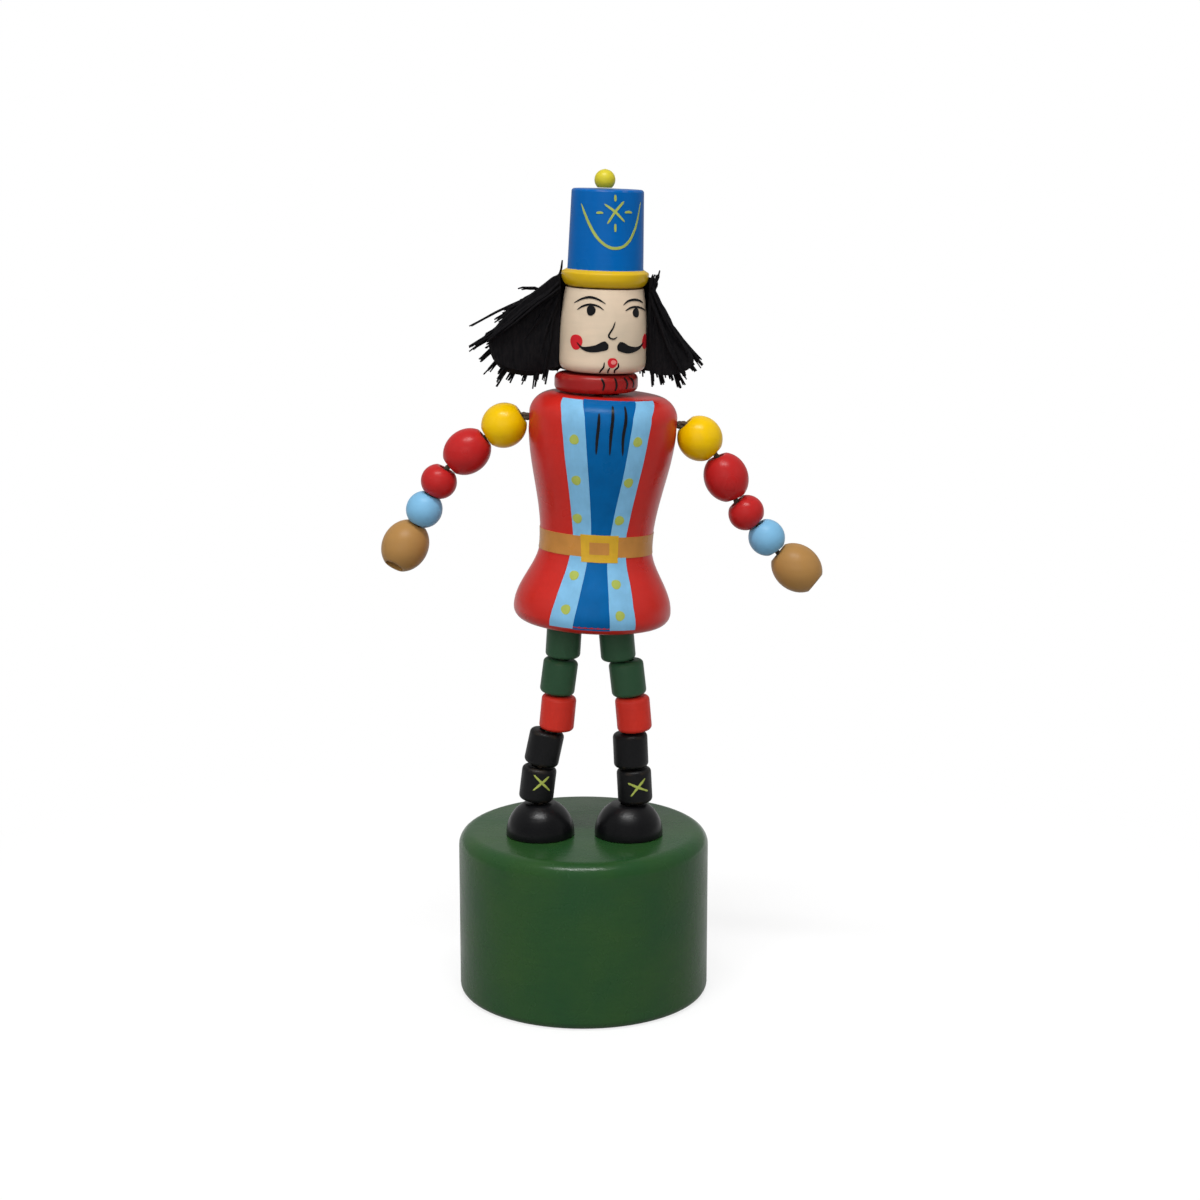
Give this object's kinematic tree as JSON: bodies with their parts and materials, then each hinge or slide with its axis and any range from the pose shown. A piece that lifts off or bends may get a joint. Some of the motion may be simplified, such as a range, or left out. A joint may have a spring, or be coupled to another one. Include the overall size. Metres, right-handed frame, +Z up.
{
  "type": "thumb push puppet",
  "caption": "Strung wooden soldier standing on a round hollow base; pressing the sprung button under the base slackens the cords so the figure bows and droops.",
  "frame": {"origin": "On the table plane, at the middle of the bounding box across the hands and from front to back", "axes": "+Z up; the figure faces -Y; +X to the viewer's right when looking at its face"},
  "size_m": [0.0772, 0.045, 0.1472],
  "materials": {
    "green_enamel": "gloss green paint on turned wood",
    "dark_green_enamel": "satin dark green paint on turned wood",
    "red_enamel": "gloss red paint on turned wood",
    "black_enamel": "gloss black paint on turned wood",
    "yellow_enamel": "gloss yellow paint on turned wood",
    "light_blue_enamel": "gloss light blue paint on turned wood",
    "tan_enamel": "gloss tan paint on turned wood",
    "skin_enamel": "gloss flesh paint on turned wood",
    "blue_enamel": "gloss blue paint on turned wood",
    "bare_wood": "plain sanded wood",
    "black_yarn": "matte black yarn",
    "cord": "twisted natural cotton cord",
    "spring_steel": "bright spring wire"
  },
  "bodies": {
    "base": {"base": "green_enamel", "left_foot": "black_enamel", "right_foot": "black_enamel", "return_spring": "spring_steel", "left_leg_cord": "cord", "right_leg_cord": "cord"},
    "push_button": {"push_button": "bare_wood"},
    "torso": {"torso": "red_enamel", "neck_cord": "cord"},
    "left_boot_lower": {"left_boot_lower": "black_enamel"},
    "left_boot_upper": {"left_boot_upper": "black_enamel"},
    "left_thigh_upper": {"left_thigh_upper": "dark_green_enamel"},
    "left_thigh_lower": {"left_thigh_lower": "dark_green_enamel"},
    "left_knee": {"left_knee": "red_enamel"},
    "right_boot_lower": {"right_boot_lower": "black_enamel"},
    "right_boot_upper": {"right_boot_upper": "black_enamel"},
    "right_thigh_upper": {"right_thigh_upper": "dark_green_enamel"},
    "right_thigh_lower": {"right_thigh_lower": "dark_green_enamel"},
    "right_knee": {"right_knee": "red_enamel"},
    "collar": {"collar": "red_enamel"},
    "head": {"head": "skin_enamel", "hat": "blue_enamel", "pompom": "yellow_enamel", "hair": "black_yarn"},
    "left_shoulder": {"left_shoulder": "yellow_enamel"},
    "left_upper_arm": {"left_upper_arm": "red_enamel"},
    "left_forearm": {"left_forearm": "red_enamel"},
    "left_cuff": {"left_cuff": "light_blue_enamel"},
    "left_hand": {"left_hand": "tan_enamel"},
    "right_shoulder": {"right_shoulder": "yellow_enamel"},
    "right_upper_arm": {"right_upper_arm": "red_enamel"},
    "right_forearm": {"right_forearm": "red_enamel"},
    "right_cuff": {"right_cuff": "light_blue_enamel"},
    "right_hand": {"right_hand": "tan_enamel"}
  },
  "joints": [
    {"name": "button_push", "type": "slide", "parent": "base", "child": "push_button", "axis": [0, 0, 1], "range_m": [0, 0.0085], "stiffness_N_per_m": 300, "springref_m": -0.001, "deforming": ["return_spring", "left_leg_cord", "right_leg_cord", "neck_cord"]},
    {"name": "torso_bow", "type": "hinge", "parent": "base", "child": "torso", "pos_m": [-0.00279, -0.00958, 0.05227], "axis": [1, 0, 0], "range_deg": [0, 64], "stiffness_Nm_per_rad": 0.05, "springref_deg": -1.15},
    {"name": "left_boot_lower_tip", "type": "hinge", "parent": "base", "child": "left_boot_lower", "pos_m": [-0.01181, -0.00608, 0.03643], "axis": [1, 0, 0], "range_deg": [0, 10], "stiffness_Nm_per_rad": 0.002, "springref_deg": -0.29},
    {"name": "left_boot_upper_tip", "type": "hinge", "parent": "left_boot_lower", "child": "left_boot_upper", "pos_m": [-0.01089, -0.00608, 0.04307], "axis": [1, 0, 0], "range_deg": [0, 11], "stiffness_Nm_per_rad": 0.0014, "springref_deg": -0.29},
    {"name": "left_thigh_upper_tip", "type": "hinge", "parent": "torso", "child": "left_thigh_upper", "pos_m": [-0.00653, -0.00608, 0.06881], "axis": [-1, 0, 0], "range_deg": [0, 10], "stiffness_Nm_per_rad": 0.0014, "springref_deg": -0.29},
    {"name": "left_thigh_lower_tip", "type": "hinge", "parent": "left_thigh_upper", "child": "left_thigh_lower", "pos_m": [-0.00717, -0.00608, 0.06219], "axis": [-1, 0, 0], "range_deg": [0, 10], "stiffness_Nm_per_rad": 0.0008, "springref_deg": -0.29},
    {"name": "left_knee_tip", "type": "hinge", "parent": "left_thigh_lower", "child": "left_knee", "pos_m": [-0.00752, -0.00608, 0.05562], "axis": [-1, 0, 0], "range_deg": [0, 11], "stiffness_Nm_per_rad": 0.0004, "springref_deg": -0.29},
    {"name": "right_boot_lower_tip", "type": "hinge", "parent": "base", "child": "right_boot_lower", "pos_m": [0.00599, -0.00608, 0.03607], "axis": [1, 0, 0], "range_deg": [0, 10], "stiffness_Nm_per_rad": 0.002, "springref_deg": -0.29},
    {"name": "right_boot_upper_tip", "type": "hinge", "parent": "right_boot_lower", "child": "right_boot_upper", "pos_m": [0.00525, -0.00608, 0.04256], "axis": [1, 0, 0], "range_deg": [0, 11], "stiffness_Nm_per_rad": 0.0014, "springref_deg": -0.29},
    {"name": "right_thigh_upper_tip", "type": "hinge", "parent": "torso", "child": "right_thigh_upper", "pos_m": [0.00241, -0.00608, 0.0683], "axis": [-1, 0, 0], "range_deg": [0, 10], "stiffness_Nm_per_rad": 0.0014, "springref_deg": -0.29},
    {"name": "right_thigh_lower_tip", "type": "hinge", "parent": "right_thigh_upper", "child": "right_thigh_lower", "pos_m": [0.00419, -0.00608, 0.0619], "axis": [-1, 0, 0], "range_deg": [0, 10], "stiffness_Nm_per_rad": 0.0008, "springref_deg": -0.29},
    {"name": "right_knee_tip", "type": "hinge", "parent": "right_thigh_lower", "child": "right_knee", "pos_m": [0.00532, -0.00608, 0.05542], "axis": [-1, 0, 0], "range_deg": [0, 11], "stiffness_Nm_per_rad": 0.0004, "springref_deg": -0.29},
    {"name": "collar_nod", "type": "hinge", "parent": "torso", "child": "collar", "pos_m": [-0.00102, -0.01, 0.10964], "axis": [1, 0, 0], "range_deg": [0, 7], "stiffness_Nm_per_rad": 0.02, "springref_deg": 0.81},
    {"name": "head_nod", "type": "hinge", "parent": "collar", "child": "head", "pos_m": [0.00004, -0.0096, 0.11305], "axis": [1, 0, 0], "range_deg": [0, 10], "stiffness_Nm_per_rad": 0.016, "springref_deg": 0.91},
    {"name": "left_shoulder_droop", "type": "hinge", "parent": "torso", "child": "left_shoulder", "pos_m": [-0.01296, -0.0038, 0.10394], "axis": [0, -1, 0], "range_deg": [0, 17], "stiffness_Nm_per_rad": 0.0036, "springref_deg": -1.55},
    {"name": "left_upper_arm_droop", "type": "hinge", "parent": "left_shoulder", "child": "left_upper_arm", "pos_m": [-0.0192, -0.0038, 0.10006], "axis": [0, -1, 0], "range_deg": [0, 5], "stiffness_Nm_per_rad": 0.002, "springref_deg": -1.49},
    {"name": "left_forearm_droop", "type": "hinge", "parent": "left_upper_arm", "child": "left_forearm", "pos_m": [-0.02554, -0.0038, 0.09509], "axis": [0, -1, 0], "range_deg": [0, 2], "stiffness_Nm_per_rad": 0.0011, "springref_deg": -1.49},
    {"name": "left_cuff_droop", "type": "hinge", "parent": "left_forearm", "child": "left_cuff", "pos_m": [-0.02818, -0.0038, 0.09055], "axis": [0, -1, 0], "range_deg": [0, 2], "stiffness_Nm_per_rad": 0.0007, "springref_deg": -1.55},
    {"name": "left_hand_droop", "type": "hinge", "parent": "left_cuff", "child": "left_hand", "pos_m": [-0.03067, -0.0038, 0.08523], "axis": [0, -1, 0], "range_deg": [0, 2], "stiffness_Nm_per_rad": 0.0003, "springref_deg": -1.55},
    {"name": "right_shoulder_droop", "type": "hinge", "parent": "torso", "child": "right_shoulder", "pos_m": [0.0132, -0.0038, 0.1026], "axis": [0, 1, 0], "range_deg": [0, 10], "stiffness_Nm_per_rad": 0.0036, "springref_deg": -1.55},
    {"name": "right_upper_arm_droop", "type": "hinge", "parent": "right_shoulder", "child": "right_upper_arm", "pos_m": [0.01839, -0.0038, 0.09739], "axis": [0, 1, 0], "range_deg": [0, 5], "stiffness_Nm_per_rad": 0.002, "springref_deg": -1.49},
    {"name": "right_forearm_droop", "type": "hinge", "parent": "right_upper_arm", "child": "right_forearm", "pos_m": [0.02212, -0.0038, 0.08889], "axis": [0, 1, 0], "range_deg": [0, 7], "stiffness_Nm_per_rad": 0.0011, "springref_deg": -1.49},
    {"name": "right_cuff_droop", "type": "hinge", "parent": "right_forearm", "child": "right_cuff", "pos_m": [0.02578, -0.0038, 0.08513], "axis": [0, 1, 0], "range_deg": [0, 6], "stiffness_Nm_per_rad": 0.0007, "springref_deg": -1.55},
    {"name": "right_hand_droop", "type": "hinge", "parent": "right_cuff", "child": "right_hand", "pos_m": [0.02964, -0.0038, 0.0796], "axis": [0, 1, 0], "range_deg": [0, 6], "stiffness_Nm_per_rad": 0.0003, "springref_deg": -1.55}
  ],
  "couplings": [
    {"joint": "torso_bow", "follows": "button_push", "rad_per_m": 131.41},
    {"joint": "left_boot_lower_tip", "follows": "button_push", "rad_per_m": 20.533},
    {"joint": "left_boot_upper_tip", "follows": "button_push", "rad_per_m": 22.587},
    {"joint": "left_thigh_upper_tip", "follows": "button_push", "rad_per_m": 20.533},
    {"joint": "left_thigh_lower_tip", "follows": "button_push", "rad_per_m": 20.533},
    {"joint": "left_knee_tip", "follows": "button_push", "rad_per_m": 22.587},
    {"joint": "right_boot_lower_tip", "follows": "button_push", "rad_per_m": 20.533},
    {"joint": "right_boot_upper_tip", "follows": "button_push", "rad_per_m": 22.587},
    {"joint": "right_thigh_upper_tip", "follows": "button_push", "rad_per_m": 20.533},
    {"joint": "right_thigh_lower_tip", "follows": "button_push", "rad_per_m": 20.533},
    {"joint": "right_knee_tip", "follows": "button_push", "rad_per_m": 22.587},
    {"joint": "collar_nod", "follows": "button_push", "rad_per_m": 14.373},
    {"joint": "head_nod", "follows": "button_push", "rad_per_m": 20.533},
    {"joint": "left_shoulder_droop", "follows": "button_push", "rad_per_m": 34.907},
    {"joint": "left_upper_arm_droop", "follows": "button_push", "rad_per_m": 10.267},
    {"joint": "left_forearm_droop", "follows": "button_push", "rad_per_m": 4.1067},
    {"joint": "left_cuff_droop", "follows": "button_push", "rad_per_m": 4.1067},
    {"joint": "left_hand_droop", "follows": "button_push", "rad_per_m": 4.1067},
    {"joint": "right_shoulder_droop", "follows": "button_push", "rad_per_m": 20.533},
    {"joint": "right_upper_arm_droop", "follows": "button_push", "rad_per_m": 10.267},
    {"joint": "right_forearm_droop", "follows": "button_push", "rad_per_m": 14.373},
    {"joint": "right_cuff_droop", "follows": "button_push", "rad_per_m": 12.32},
    {"joint": "right_hand_droop", "follows": "button_push", "rad_per_m": 12.32}
  ]
}
